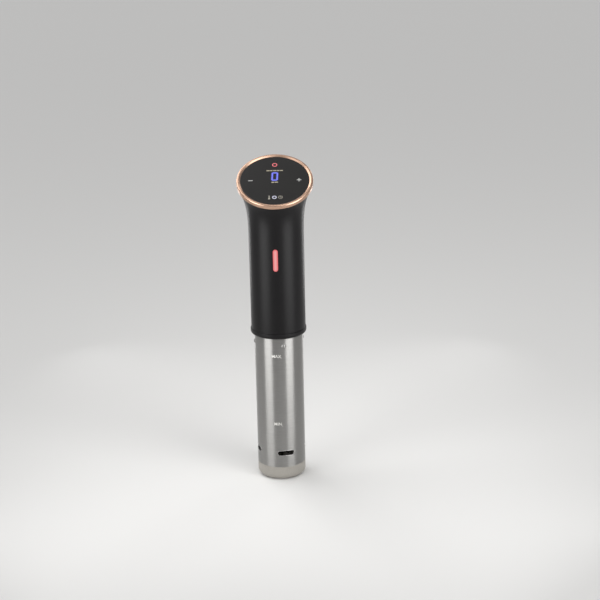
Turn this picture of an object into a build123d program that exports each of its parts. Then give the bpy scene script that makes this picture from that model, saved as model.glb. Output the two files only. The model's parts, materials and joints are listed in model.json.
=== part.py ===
from build123d import *
from math import cos, radians, sin, sqrt
import os

# Sous vide circulator. Millimetres, Z up along the tube's axis, front towards -Y.
# The origin is the centre of the end cap's flat underside.

# ---------------------------------------------------------------- driving dimensions
# Heights, stacked from the base up
cap_height = 16.0  # end cap, below the sleeve
sleeve_exposed = 155.6  # sleeve between the end cap and the collar
collar_height = 6.4
body_height = 107.6  # straight part of the housing
neck_rise = 57.8  # from there to the centre of the head's rim

# Wet end
sleeve_od = 55.0
sleeve_wall = 0.8
slot_count = 4
slot_turn = 11.7  # slots and studs, degrees from the front towards +X
slot_width = 19.8
slot_height = 6.0
slot_rise = 17.3  # slot's centre above the end cap
stud_drop = 8.6  # stud's centre below the collar
stud_r = 1.5
stud_head_r = 2.4
stud_proud = 1.3
cap_round = 6.0
cap_wall = 2.5
cap_spigot = 8.0
intake_width = 7.0
intake_inner = 8.5
intake_outer = 20.0

# Body and head
housing_od = 61.5
housing_wall = 2.2
head_tilt = 31.0  # degrees, from level towards the front
head_forward = 2.9  # rim's centre in front of the tube's axis
neck_flare = 2.8  # power of the flare, larger opens later
bezel_od = 84.0
bezel_height = 5.0
bezel_face = 4.0  # radial width seen from above
bezel_lip = 1.0  # overhang past the housing's rim
bezel_bevel = 1.6
bezel_round = 1.3
glass_thickness = 1.6
glass_sunk = 1.0  # below the bezel's top
gasket_thickness = 0.3
ledge_width = 2.0
ledge_thickness = 1.2
spigot_wall = 0.9
spigot_depth = 1.5
board_thickness = 1.6
board_drop = 5.6  # display board's underside below the head's rim
post_r = 3.0
side_key_inset = 11.5  # minus and plus keys, from the glass's edge
power_key_inset = 13.0
menu_key_inset = 11.0
menu_key_pitch = 6.2
display_width = 26.0
display_height = 16.0
display_up = 6.4  # its centre behind the head's centre
buzzer_r = 6.0
buzzer_height = 5.5
buzzer_turn = 40.6  # degrees from +X
buzzer_inset = 13.0  # its centre inside the ring of posts
light_bar_width = 5.3
light_bar_length = 24.7
light_bar_rise = 85.0  # its centre above the collar's top
light_bar_side = -1.0
light_bar_proud = 0.25

# Wall between the wet and dry ends
bulkhead_plate = 3.0  # inside the housing
bulkhead_web = 3.0  # below it, above the hollow
spigot_length = 20.0  # inside the sleeve
bulkhead_wall = 2.5
seal_section = 2.0
seal_drop = 7.0  # seal's centre below the collar's top
collar_lip = 0.8  # collar past the housing
collar_round = 4.5
boss_r = 3.5
boss_height = 41.0
screw_head_r = 2.6
boss_angles = (30.0, 150.0, 270.0)

# Motor and pump
shaft_r = 2.5
shaft_foot = 19.0  # shaft's lower end above the base
motor_inset = 7.12  # room round the motor, inside the hollow below it, for screws and heater legs
motor_boss_gap = 0.5  # between the motor and the housing's bosses
motor_height = 40.0
motor_wall = 1.2
motor_end = 5.0
bearing_r = 5.5
bearing_width = 4.0
magnet_thickness = 1.3
rotor_gap = 0.7
motor_screw_share = 0.53  # screws' place between the bearing and the can
shaft_tube_r = 4.5
shaft_tube_wall = 1.0
bush_length = 12.0
impeller_r = 17.0
impeller_height = 10.0
impeller_blades = 6
blade_thickness = 1.5
hub_r = 5.0

# Heater and probes
heater_r = 3.25
heater_wall_gap = 1.15  # between the legs and the hollow's wall
heater_back = -10.0  # legs' place in Y
heater_bend = 8.0
heater_above = 18.0  # heater's loop above the slots' centre
terminal_r = 1.2
terminal_height = 5.0
probe_r = 2.0
probe_clear = 0.8  # between the probe and the heater's loop
level_pin_r = 1.2
level_pin_gap = 2.3  # between the pins and the hollow's wall
level_pin_turn = 25.9  # degrees each side of the front
level_min_rise = 61.0  # pins' lower ends above the base
level_max_rise = 142.0

# Power electronics
frame_thickness = 3.0
frame_rim = 3.0  # inside its ring of screws
rail_height = 75.0
rail_width = 4.0
rail_depth = 6.0
rail_slot = 1.5
power_board_half = 23.5
power_board_gap = 1.2  # between the board and the heads of the frame's screws
frame_screw_head_r = 2.5
cord_bore_r = 3.5
gland_shank_r = 5.9
gland_flange_r = 8.0
gland_nut_r = 9.0
gland_drop = 9.8  # below the neck
gland_reach = 3.2  # flange past the housing
gland_inside = 6.0

# Pot clip at the back
clip_y = 40.0  # pivot
clip_rise = 37.0  # pivot above the collar's top
clip_width = 24.0
lever_round = 0.8  # along the lever's edges
clip_pin_r = 2.0
clip_drop = 78.5  # nose's underside below the pivot
handle_rise = 47.0  # handle's tip above the pivot
ear_thickness = 3.1
ear_r = 5.5
clip_plate_y = 33.0
clip_screw_side = 7.0
clip_screw_drop = 10.0  # below the pivot
pad_face_y = 29.6
nose_y = 32.0
spring_r = 6.4
spring_wire_r = 0.6
spring_pitch = 2.2
spring_leg = 21.5
spring_lean = 10.5  # degrees, the leg on the lever

# Fits, each radial or per side
seat_gap = 0.1  # pieces seated in one another
touch_gap = 0.02  # pressed together
run_gap = 0.05  # turning in a bore
slide_gap = 0.08  # sleeve on its spigot, cap in the sleeve
free_gap = 0.3  # pieces that pass one another

# ---------------------------------------------------------------- worked-out places
sleeve_r = sleeve_od / 2
sleeve_bore_r = sleeve_r - sleeve_wall
body_r = housing_od / 2
body_bore_r = body_r - housing_wall
collar_z = cap_height + sleeve_exposed
body_z = collar_z + collar_height
neck_z = body_z + body_height
rim_z = neck_z + neck_rise
slot_z = cap_height + slot_rise
stud_z = collar_z - stud_drop
sleeve_top = body_z - 1.0
spigot_r = sleeve_bore_r - slide_gap
spigot_foot = body_z - spigot_length
hollow_r = spigot_r - bulkhead_wall
motor_r = hollow_r - motor_inset
boss_circle = motor_r + motor_boss_gap + boss_r
back_screw_y = boss_circle * sin(radians(boss_angles[0]))
power_board_y = back_screw_y - frame_screw_head_r - power_board_gap - board_thickness / 2
plate_top = body_z + bulkhead_plate
web_z = body_z - bulkhead_web
boss_top = plate_top + boss_height
motor_top = plate_top + motor_height
motor_screw_circle = bearing_r + motor_screw_share * (motor_r - motor_wall - bearing_r)
impeller_z = slot_z - impeller_height / 2
shaft_tube_foot = impeller_z + impeller_height + 3.0
heater_z = slot_z + heater_above
frame_top = boss_top + frame_thickness
bezel_r = bezel_od / 2
rim_r = bezel_r - bezel_lip
rim_bore_r = rim_r - housing_wall
glass_bore_r = bezel_r - bezel_face
glass_top = bezel_height - glass_sunk
glass_under = glass_top - glass_thickness
ledge_top = glass_under - gasket_thickness
ledge_under = ledge_top - ledge_thickness
bezel_spigot_r = rim_bore_r - seat_gap
board_top = board_thickness - board_drop
side_key_x = glass_bore_r - side_key_inset
power_key_y = glass_bore_r - power_key_inset
menu_key_y = menu_key_inset - glass_bore_r
light_bar_z = body_z + light_bar_rise
gland_z = neck_z - gland_drop
pivot_z = body_z + clip_rise
clip_screw_z = pivot_z - clip_screw_drop
heater_legs = sqrt((hollow_r - heater_wall_gap - heater_r) ** 2 - heater_back**2)  # each side of the middle
level_pin_circle = hollow_r - level_pin_gap - level_pin_r
probe_y = heater_back + heater_bend + heater_legs + heater_r + probe_clear + probe_r
slot_angles = [slot_turn + 360 / slot_count * k for k in range(slot_count)]

# The housing narrows below the head's rim, fastest at the back: millimetres inwards per millimetre down
tilt_angle = radians(head_tilt)
taper_out = neck_rise * sin(tilt_angle) - 2 * head_forward * cos(tilt_angle) + neck_flare * (rim_r - body_r)
taper_down = neck_rise * cos(tilt_angle) + 2 * head_forward * sin(tilt_angle) + rim_r * tilt_angle
rim_taper = taper_out / taper_down
spigot_foot_r = bezel_spigot_r - rim_taper * spigot_depth
spigot_bore_r = spigot_foot_r - spigot_wall
carrier_r = spigot_bore_r - seat_gap
board_r = rim_bore_r - rim_taper * board_drop - 0.8
post_circle = board_r - post_r

LOW = (Align.CENTER, Align.CENTER, Align.MIN)
HEAD = Plane(
    origin=(0, -head_forward, rim_z),
    x_dir=(1, 0, 0),
    z_dir=(0, -sin(tilt_angle), cos(tilt_angle)),
)


# ---------------------------------------------------------------- shapes used throughout
def rod(radius, low, high, x=0.0, y=0.0):
    """Round bar along Z."""
    return Pos(x, y, low) * Cylinder(radius, high - low, align=LOW)


def tube(outer, inner, low, high):
    """Round tube along Z."""
    return rod(outer, low, high) - rod(inner, low, high)


def rod_x(radius, low, high, y, z):
    """Round bar along X."""
    return Pos(low, y, z) * Rot(Y=90) * Cylinder(radius, high - low, align=LOW)


def rod_y(radius, low, high, x, z):
    """Round bar along Y."""
    return Pos(x, low, z) * Rot(X=-90) * Cylinder(radius, high - low, align=LOW)


def block(x, y, z):
    """Box from three (low, high) pairs."""
    middle = Pos(sum(x) / 2, sum(y) / 2, sum(z) / 2)
    return middle * Box(x[1] - x[0], y[1] - y[0], z[1] - z[0])


def turned(outline, rounds=0):
    """Solid of revolution about Z from (radius, height) corners, with a round for each corner."""
    outline_wire = FilletPolyline(*outline, radius=rounds, close=True)
    return revolve(Plane.XZ * make_face(outline_wire), Axis.Z)


def polar(radius, angles):
    """Places on a circle about Z, at angles from +X."""
    return [Pos(radius * cos(radians(a)), radius * sin(radians(a)), 0) for a in angles]


def screw(radius, length, head_r, head_height):
    """Pan-head screw, head up on Z = 0 and shank below."""
    head = Cylinder(head_r, head_height, align=LOW)
    shank = rod(radius, -length, 0)
    recess = rod(head_r * 0.4, head_height * 0.5, head_height)
    return head + shank - recess


def group(pieces):
    """Separate solids in one node."""
    return Compound(children=[s for piece in pieces for s in piece.solids()])


# ---------------------------------------------------------------- housing and collar
def neck_section(share, inset):
    """Circle across the neck, from its foot (share 0) to the head's rim (share 1)."""
    tilt = radians(head_tilt * share)
    plane = Plane(
        origin=(0, -head_forward * share**2, neck_z + neck_rise * share),
        x_dir=(1, 0, 0),
        z_dir=(0, -sin(tilt), cos(tilt)),
    )
    radius = body_r + (rim_r - body_r) * share**neck_flare
    return plane * Circle(radius - inset)


def body_shape(inset, low):
    """Solid of the straight body and the flaring neck, a distance inside the outer skin."""
    neck = loft([neck_section(k / 5, inset) for k in range(6)])
    return rod(body_r - inset, low, neck_z) + neck


def light_window(grow, low, high):
    """Round-ended prism along Y at the light bar."""
    shape = SlotOverall(light_bar_length + 2 * grow, light_bar_width + 2 * grow, rotation=90)
    place = Plane(origin=(light_bar_side, low, light_bar_z), x_dir=(1, 0, 0), z_dir=(0, 1, 0))
    return extrude(place * shape, high - low)


def make_housing():
    shell = body_shape(0, body_z) - body_shape(housing_wall, body_z)
    for place, angle in zip(polar(boss_circle, boss_angles), boss_angles):
        rib = block((boss_circle, body_r), (-1.2, 1.2), (plate_top, boss_top))
        boss = place * rod(boss_r, plate_top, boss_top) + Rot(Z=angle) * rib
        shell += boss & rod(body_r - 0.5, body_z, neck_z)
    for place in polar(boss_circle, boss_angles):
        shell -= place * rod(1.2, plate_top, plate_top + 10)
        shell -= place * rod(1.2, boss_top - 10, boss_top)
    for side in (-clip_screw_side, clip_screw_side):
        pad = rod_y(3.2, body_bore_r - 7.5, body_r, side, clip_screw_z)
        shell += pad & rod(body_r - 0.5, body_z, neck_z)
        shell -= rod_y(1.2, body_bore_r - 6, body_r + 1, side, clip_screw_z)
    shell -= light_window(seat_gap, -body_r - 1, 0)
    shell -= rod_y(gland_shank_r + seat_gap, 0, body_r + 5, 0, gland_z)
    return shell


def make_collar_ring():
    outer = body_r + collar_lip
    inner = sleeve_r + free_gap
    outline = [
        (inner, collar_z),
        (outer, collar_z),
        (outer, body_z),
        (spigot_r + seat_gap, body_z),
        (spigot_r + seat_gap, sleeve_top + free_gap),
        (inner, sleeve_top + free_gap),
    ]
    return turned(outline, [0, min(collar_round, outer - inner - 0.3), 0.5, 0, 0, 0])


def make_bulkhead():
    plate_r = body_bore_r - seat_gap
    outline = [
        (0, web_z),
        (hollow_r, web_z),
        (hollow_r, spigot_foot),
        (spigot_r, spigot_foot),
        (spigot_r, body_z),
        (plate_r, body_z),
        (plate_r, plate_top),
        (0, plate_top),
    ]
    wall = turned(outline, [0, 0, 0.4, 0.6, 0, 0, 0.5, 0])
    groove_z = body_z - seal_drop
    wall -= tube(spigot_r + 1, spigot_r - seal_section + 0.2, groove_z - 1.3, groove_z + 1.3)
    wall -= rod(shaft_tube_r + touch_gap, web_z, body_z)
    wall -= rod(bearing_r + 0.5 + touch_gap, body_z, plate_top)
    for x, y, radius in wall_rods():
        wall -= rod(radius + touch_gap, web_z, plate_top, x, y)
    for place in polar(boss_circle, boss_angles):
        wall -= place * rod(1.6 + seat_gap, web_z, plate_top)
    for place in polar(motor_screw_circle, (0, 180)):
        wall -= place * rod(1.6 + seat_gap, web_z, plate_top)
    for angle in slot_angles:
        reach = spigot_r - 1.4
        half = stud_r + 0.4
        groove = block((-half, half), (-sleeve_r, -reach), (spigot_foot, stud_z + half))
        wall -= Rot(Z=angle) * groove
    return wall


def make_bulkhead_seal():
    middle = spigot_r - seal_section / 2 + 0.2
    return Pos(0, 0, body_z - seal_drop) * Torus(middle, seal_section / 2 - 0.14)


def make_bulkhead_screws():
    one = Rot(X=180) * screw(1.2 - touch_gap, bulkhead_plate + bulkhead_web + 9, screw_head_r, 2.0)
    one = Pos(0, 0, web_z) * one
    return group([place * one for place in polar(boss_circle, boss_angles)])


# ---------------------------------------------------------------- control head
def make_bezel_ring():
    inner = glass_bore_r
    outline = [
        (bezel_spigot_r, 0),
        (spigot_foot_r, -spigot_depth),
        (spigot_bore_r, -spigot_depth),
        (spigot_bore_r, ledge_under),
        (inner - ledge_width, ledge_under),
        (inner - ledge_width, ledge_top),
        (inner, ledge_top),
        (inner, glass_top),
        (inner + bezel_bevel, bezel_height),
        (bezel_r, bezel_height),
        (bezel_r, 0),
    ]
    return HEAD * turned(outline, [0, 0, 0, 0, 0, 0, 0, 0, 0.3, bezel_round, 0.6])


def make_glass_gasket():
    return HEAD * tube(glass_bore_r - 0.2, glass_bore_r - ledge_width, ledge_top, glass_under)


def make_touch_glass():
    radius = glass_bore_r - seat_gap
    outline = [(0, glass_under), (radius, glass_under), (radius, glass_top), (0, glass_top)]
    return HEAD * turned(outline, [0, 0.2, 0.3, 0])


def key_places():
    """Middle of each touch key, across the head: power, minus, plus, and three small keys."""
    menu = [(k * menu_key_pitch, menu_key_y) for k in (-1, 0, 1)]
    return [(0, power_key_y), (-side_key_x, 0), (side_key_x, 0)] + menu


def key_radius(index):
    return 3.4 if index < 3 else 2.6


def display_post_places():
    return polar(post_circle, (45, 135, 225, 315))


def display_block(grow, low, high):
    """Box at the display module, in the head's frame."""
    half_x = display_width / 2 + grow
    half_y = display_height / 2 + grow
    return block((-half_x, half_x), (display_up - half_y, display_up + half_y), (low, high))


def make_display_carrier():
    plate = rod(carrier_r, ledge_under - 1.5, ledge_under)
    plate -= display_block(0.5, board_top, ledge_top)
    for place in display_post_places():
        plate += place * rod(post_r, board_top, ledge_under - 1)
        plate -= place * rod(0.8, board_top, ledge_under - 1.5)
    for index, (x, y) in enumerate(key_places()):
        plate -= rod(key_radius(index) + 0.3, board_top, ledge_top, x, y)
    return HEAD * plate


def make_display_board():
    board = rod(board_r, -board_drop, board_top)
    for place in display_post_places():
        board -= place * rod(1.0, -board_drop, board_top)
    return HEAD * board


def make_led_display():
    return HEAD * display_block(0, board_top, glass_under)


def make_touch_pads():
    pads = [rod(key_radius(i), board_top, glass_under, x, y) for i, (x, y) in enumerate(key_places())]
    return group([HEAD * pad for pad in pads])


def make_buzzer():
    foot = -board_drop - buzzer_height
    buzzer = rod(buzzer_r, foot, -board_drop) - rod(1.0, foot, foot + 1)
    return HEAD * (polar(post_circle - buzzer_inset, [buzzer_turn])[0] * buzzer)


def make_display_screws():
    one = Pos(0, 0, -board_drop) * Rot(X=180) * screw(0.8 - touch_gap, 4.0, 1.8, 1.3)
    return group([HEAD * (place * one) for place in display_post_places()])


# ---------------------------------------------------------------- light bar
def make_light_bar():
    lens = light_window(0, -body_r - 1, -body_bore_r + 2.6) & rod(body_r + light_bar_proud, body_z, neck_z)
    flange = light_window(1.2, -body_bore_r, -body_bore_r + 2.6)
    return lens + (flange & rod(body_bore_r - seat_gap, body_z, neck_z))


def make_light_bar_board():
    back = -body_bore_r + 2.6
    half = light_bar_width / 2 + 1.5
    reach = light_bar_length / 2 + 2
    board = block(
        (light_bar_side - half, light_bar_side + half),
        (back + 1.2, back + 1.2 + board_thickness),
        (light_bar_z - reach, light_bar_z + reach),
    )
    lamps = [light_bar_z + k * light_bar_length / 4 for k in (-1, 0, 1)]
    for z in lamps:
        lamp = ((light_bar_side - 1.7, light_bar_side + 1.7), (back + 0.1, back + 1.2), (z - 1.4, z + 1.4))
        board += block(*lamp)
    return board


# ---------------------------------------------------------------- power electronics
def make_inner_frame():
    frame = tube(body_bore_r - seat_gap, boss_circle - frame_rim, boss_top, frame_top)
    for place in polar(boss_circle, boss_angles):
        frame -= place * rod(1.6, boss_top, frame_top)
    for side in (-1, 1):
        inner = power_board_half - rail_slot
        rail = block(
            (inner, inner + rail_width),
            (power_board_y - rail_depth / 2, power_board_y + rail_depth / 2),
            (frame_top - 1, frame_top + rail_height),
        )
        slot_half = board_thickness / 2 + seat_gap
        rail -= block(
            (inner, power_board_half + seat_gap),
            (power_board_y - slot_half, power_board_y + slot_half),
            (frame_top, frame_top + rail_height),
        )
        frame += rail if side > 0 else mirror(rail, Plane.YZ)
    return frame


def make_frame_screws():
    one = Pos(0, 0, frame_top) * screw(1.2 - touch_gap, frame_thickness + 9, frame_screw_head_r, 1.8)
    return group([place * one for place in polar(boss_circle, boss_angles)])


def make_power_board():
    return block(
        (-power_board_half, power_board_half),
        (power_board_y - board_thickness / 2, power_board_y + board_thickness / 2),
        (frame_top, frame_top + rail_height - 5),
    )


def on_board(x, z, width, height, depth):
    """Box standing on the power board's front face."""
    face = power_board_y - board_thickness / 2
    return block((x, x + width), (face - depth, face), (frame_top + z, frame_top + z + height))


def make_relay():
    return on_board(-19, 4, 15.5, 19, 15)


def make_transformer():
    core = on_board(1, 4, 18, 15, 16)
    winding = on_board(4, 2, 12, 19, 12)
    return core + winding


def make_capacitors():
    face = power_board_y - board_thickness / 2
    cans = [(-14.0, 33.0, 4.0, 11.0), (-14.0, 43.5, 4.0, 11.0), (-14.0, 54.0, 5.0, 13.0)]
    return group([rod_y(r, face - h, face, x, frame_top + z) for x, z, r, h in cans])


def make_triac_heatsink():
    sink = on_board(2, 30, 16, 22, 3)
    for k in range(4):
        sink += on_board(2 + 4.8 * k, 30, 1.6, 22, 14)
    return sink


def make_terminal_block():
    terminal = on_board(-6, 58, 22, 9, 10)
    face = power_board_y - board_thickness / 2 - 10
    for k in range(3):
        terminal -= rod_y(2.0, face, face + 6, -2 + 7 * k, frame_top + 62.5)
    return terminal


def make_cord_gland():
    flange = rod_y(gland_flange_r, 0, body_r + gland_reach, 0, gland_z) - rod(body_r, body_z, rim_z)
    shank = rod_y(gland_shank_r, body_bore_r - gland_inside, body_r + gland_reach, 0, gland_z)
    gland = flange + shank
    rim = gland.edges().filter_by(GeomType.CIRCLE).sort_by(Axis.Y)[-1]
    gland = fillet(rim, 1.0)
    return gland - rod_y(cord_bore_r, 0, body_r + gland_reach + 1, 0, gland_z)


def make_gland_nut():
    low = body_bore_r - gland_inside + 1
    nut = rod_y(gland_nut_r, low, body_r, 0, gland_z) & rod(body_bore_r, body_z, rim_z)
    return nut - rod_y(gland_shank_r + touch_gap, 0, body_r, 0, gland_z)


# ---------------------------------------------------------------- motor and pump
def make_motor_can():
    can = rod(motor_r, plate_top + motor_end, motor_top)
    can -= rod(motor_r - motor_wall, plate_top + motor_end, motor_top - motor_end)
    can -= rod(bearing_r + touch_gap, motor_top - motor_end, motor_top - 1)
    return can


def make_motor_end_plate():
    plate = rod(motor_r, plate_top, plate_top + motor_end)
    plate -= rod(bearing_r + touch_gap, plate_top + 1, plate_top + motor_end)
    plate -= rod(shaft_r + free_gap, plate_top, plate_top + 1)
    for place in polar(motor_screw_circle, (0, 180)):
        plate -= place * rod(1.2, plate_top, plate_top + 4)
    return plate


def make_motor_magnets():
    outer = motor_r - motor_wall - touch_gap
    full = tube(outer, outer - magnet_thickness, plate_top + motor_end + 3, motor_top - motor_end - 3)
    gap = block((-motor_r, motor_r), (-2, 2), (plate_top, motor_top))
    return group([full - gap])


def make_motor_bearings():
    lows = (plate_top + 1, motor_top - motor_end)
    return group([tube(bearing_r, shaft_r + run_gap, z, z + bearing_width) for z in lows])


def make_motor_screws():
    one = Rot(X=180) * screw(1.2 - touch_gap, bulkhead_plate + bulkhead_web + 3.5, screw_head_r, 2.0)
    one = Pos(0, 0, web_z) * one
    return group([place * one for place in polar(motor_screw_circle, (0, 180))])


def make_motor_rotor():
    outer = motor_r - motor_wall - touch_gap - magnet_thickness - rotor_gap
    low = plate_top + motor_end + 2
    high = motor_top - motor_end - 2
    rotor = rod(outer, low + 4, high - 2)
    for k in range(5):
        slot = block((outer - 5, outer + 1), (-0.8, 0.8), (low, high))
        rotor -= Rot(Z=72 * k) * slot
    rotor += rod(outer - 6, low, high)
    return rotor - rod(shaft_r + touch_gap, low, high)


def make_drive_shaft():
    high = motor_top - 1 - free_gap
    return turned([(0, shaft_foot), (shaft_r, shaft_foot), (shaft_r, high), (0, high)], [0, 0.4, 0.4, 0])


def make_shaft_seal():
    return tube(bearing_r + 0.5, shaft_r + run_gap, body_z, plate_top)


def make_shaft_tube():
    return tube(shaft_tube_r, shaft_tube_r - shaft_tube_wall, shaft_tube_foot, body_z)


def make_pump_bush():
    return tube(
        shaft_tube_r - shaft_tube_wall - touch_gap,
        shaft_r + run_gap,
        shaft_tube_foot,
        shaft_tube_foot + bush_length,
    )


def make_impeller():
    high = impeller_z + impeller_height
    wheel = rod(hub_r, impeller_z, high) + rod(impeller_r, high - blade_thickness, high)
    for k in range(impeller_blades):
        blade = block(
            (hub_r - 1, impeller_r - 0.5),
            (-blade_thickness / 2, blade_thickness / 2),
            (impeller_z, high),
        )
        wheel += Rot(Z=360 / impeller_blades * k) * blade
    return wheel - rod(shaft_r + touch_gap, impeller_z, high)


def make_impeller_nut():
    nut = Pos(0, 0, impeller_z - 4) * extrude(RegularPolygon(4.6, 6), 4)
    return nut - rod(shaft_r + touch_gap, impeller_z - 4, impeller_z)


# ---------------------------------------------------------------- heater and probes
def wall_rods():
    """Heater legs, probe and level pins that pass through the bulkhead: (x, y, radius)."""
    legs = [(side * heater_legs, heater_back, heater_r) for side in (-1, 1)]
    turn = radians(level_pin_turn)
    pins = [
        (side * level_pin_circle * sin(turn), -level_pin_circle * cos(turn), level_pin_r) for side in (-1, 1)
    ]
    return legs + pins + [(0, probe_y, probe_r)]


def make_heater():
    x, y = heater_legs, heater_back
    loop_y = y + heater_bend
    corner = heater_bend * (1 - sqrt(0.5))
    path = Wire(
        [
            Line((x, y, plate_top), (x, y, heater_z + heater_bend)).edge(),
            ThreePointArc(
                (x, y, heater_z + heater_bend), (x, y + corner, heater_z + corner), (x, loop_y, heater_z)
            ).edge(),
            ThreePointArc((x, loop_y, heater_z), (0, loop_y + x, heater_z), (-x, loop_y, heater_z)).edge(),
            ThreePointArc(
                (-x, loop_y, heater_z), (-x, y + corner, heater_z + corner), (-x, y, heater_z + heater_bend)
            ).edge(),
            Line((-x, y, heater_z + heater_bend), (-x, y, plate_top)).edge(),
        ]
    )
    start = Plane(origin=(x, y, plate_top), z_dir=(0, 0, -1))
    heater = sweep(start * Circle(heater_r), path)
    for side in (-1, 1):
        heater += rod(terminal_r, plate_top, plate_top + terminal_height, side * x, y)
    return heater


def make_temperature_probe():
    low = impeller_z + impeller_height + 1
    probe = rod(probe_r, low + probe_r, plate_top + terminal_height, 0, probe_y)
    return probe + Pos(0, probe_y, low + probe_r) * Sphere(probe_r)


def make_level_pins():
    pins = [p for p in wall_rods() if p[2] == level_pin_r]
    feet = (level_min_rise, level_max_rise)
    return group([rod(r, foot, plate_top + terminal_height, x, y) for (x, y, r), foot in zip(pins, feet)])


# ---------------------------------------------------------------- sleeve and end cap
def make_sleeve():
    sleeve = tube(sleeve_r, sleeve_bore_r, cap_height, sleeve_top)
    for angle in slot_angles:
        place = Plane(origin=(0, -sleeve_r - 1, slot_z), x_dir=(1, 0, 0), z_dir=(0, 1, 0))
        sleeve -= Rot(Z=angle) * extrude(place * SlotOverall(slot_width, slot_height), sleeve_r / 2)
        sleeve -= Rot(Z=angle) * rod_y(stud_r + touch_gap, -sleeve_r - 1, 0, 0, stud_z)
    return sleeve


def make_sleeve_studs():
    dome_r = (stud_head_r**2 + stud_proud**2) / (2 * stud_proud)
    ball = Pos(0, -sleeve_r - stud_proud + dome_r, stud_z) * Sphere(dome_r)
    head = ball & rod_y(stud_head_r, -sleeve_r - stud_proud, -sleeve_r + 1, 0, stud_z)
    head -= rod(sleeve_r, 0, body_z)
    stud = head + rod_y(stud_r, -sleeve_r - 0.2, -spigot_r + 1.1, 0, stud_z)
    return group([Rot(Z=angle) * stud for angle in slot_angles])


def make_end_cap():
    inner = sleeve_bore_r - slide_gap
    outline = [
        (0, 0),
        (sleeve_r, 0),
        (sleeve_r, cap_height),
        (inner, cap_height),
        (inner, cap_height + cap_spigot),
        (inner - cap_wall, cap_height + cap_spigot),
        (inner - cap_wall, cap_wall),
        (0, cap_wall),
    ]
    cap = turned(outline, [0, cap_round, 0.3, 0, 0.4, 0.4, cap_round - cap_wall, 0])
    middle = (intake_inner + intake_outer) / 2
    slot = extrude(SlotOverall(intake_outer - intake_inner, intake_width), cap_wall)
    for k in range(4):
        cap -= Rot(Z=90 * k) * (Pos(middle, 0, 0) * slot)
    return cap


# ---------------------------------------------------------------- pot clip
def make_clip_bracket():
    half = clip_width / 2 + 0.4 + ear_thickness
    plate = block((-half, half), (body_r / 2, clip_plate_y), (pivot_z - 16, pivot_z + 14))
    bracket = plate - rod(body_r, body_z, neck_z)
    for side in (-1, 1):
        low = half - ear_thickness if side > 0 else -half
        ear = rod_x(ear_r, low, low + ear_thickness, clip_y, pivot_z)
        height = (pivot_z - ear_r, pivot_z + ear_r)
        ear += block((low, low + ear_thickness), (clip_plate_y - 4, clip_y), height)
        bracket += ear - rod(body_r, body_z, neck_z)
    bracket -= rod_x(clip_pin_r + touch_gap, -half, half, clip_y, pivot_z)
    for side in (-clip_screw_side, clip_screw_side):
        bracket -= rod_y(1.6 + seat_gap, 0, clip_plate_y, side, clip_screw_z)
    return bracket


def make_clip_screws():
    one = Rot(X=-90) * screw(1.2 - touch_gap, 9.0, 2.8, 2.0)
    places = [Pos(side, clip_plate_y, clip_screw_z) for side in (-clip_screw_side, clip_screw_side)]
    return group([place * one for place in places])


def make_clip_pin():
    half = clip_width / 2 + 0.4 + ear_thickness
    pin = rod_x(clip_pin_r, -half - 1, half + 1.5, clip_y, pivot_z)
    return pin + rod_x(clip_pin_r + 1.2, -half - 1.6, -half, clip_y, pivot_z)


def make_clip_lever():
    y, z = clip_y, pivot_z
    nose_top = z - clip_drop + 8
    outline = [
        (y + 9.0, z + handle_rise),
        (y + 7.0, z + 21),
        (y + 5.0, z),
        (y + 4.0, z - 25),
        (y + 3.0, z - 65),
        (y + 2.5, z - clip_drop),
        (nose_y, z - clip_drop),
        (nose_y, nose_top),
        (y - 3.2, nose_top + 1.5),
        (y - 0.5, z - 25),
        (y - 4.0, z - 7),
        (y - 4.0, z + 7),
        (y + 3.0, z + 21),
        (y + 6.0, z + handle_rise),
    ]
    rounds = [1.4, 20, 40, 60, 60, 3, 1, 0.8, 4, 12, 4, 4, 20, 1.4]
    place = Plane(origin=(-clip_width / 2, 0, 0), x_dir=(0, 1, 0), z_dir=(1, 0, 0))
    lever = extrude(place * make_face(FilletPolyline(*outline, radius=rounds, close=True)), clip_width)
    lever = fillet(lever.faces().filter_by(Axis.X).edges(), lever_round)
    lever -= rod_x(clip_pin_r + run_gap, -clip_width, clip_width, y, z)
    spring_half = 7.4
    lever -= block((-spring_half, spring_half), (y - 10, y + 12), (z - 8.5, z + spring_leg + 2.5))
    return lever


def make_clip_pad():
    high = pivot_z - clip_drop + 7.5
    low = pivot_z - clip_drop + 0.5
    return block((-10, 10), (pad_face_y, nose_y), (low, high))


def make_clip_spring():
    turns = 4.5 + spring_lean / 360
    place = Plane(
        origin=(-turns * spring_pitch / 2, clip_y, pivot_z),
        x_dir=(0, -1, 0),
        z_dir=(1, 0, 0),
    )
    coil = Helix(spring_pitch, turns * spring_pitch, spring_r)
    start, end = coil @ 0, coil @ 1
    bracket_leg = Line(start - (coil % 0) * spring_leg, start)
    lever_leg = Line(end, end + (coil % 1) * spring_leg)
    path = Wire([bracket_leg.edge(), coil.edge(), lever_leg.edge()])
    section = Plane(origin=bracket_leg @ 0, z_dir=bracket_leg % 0) * Circle(spring_wire_r)
    return place * sweep(section, path, is_frenet=True)


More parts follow.
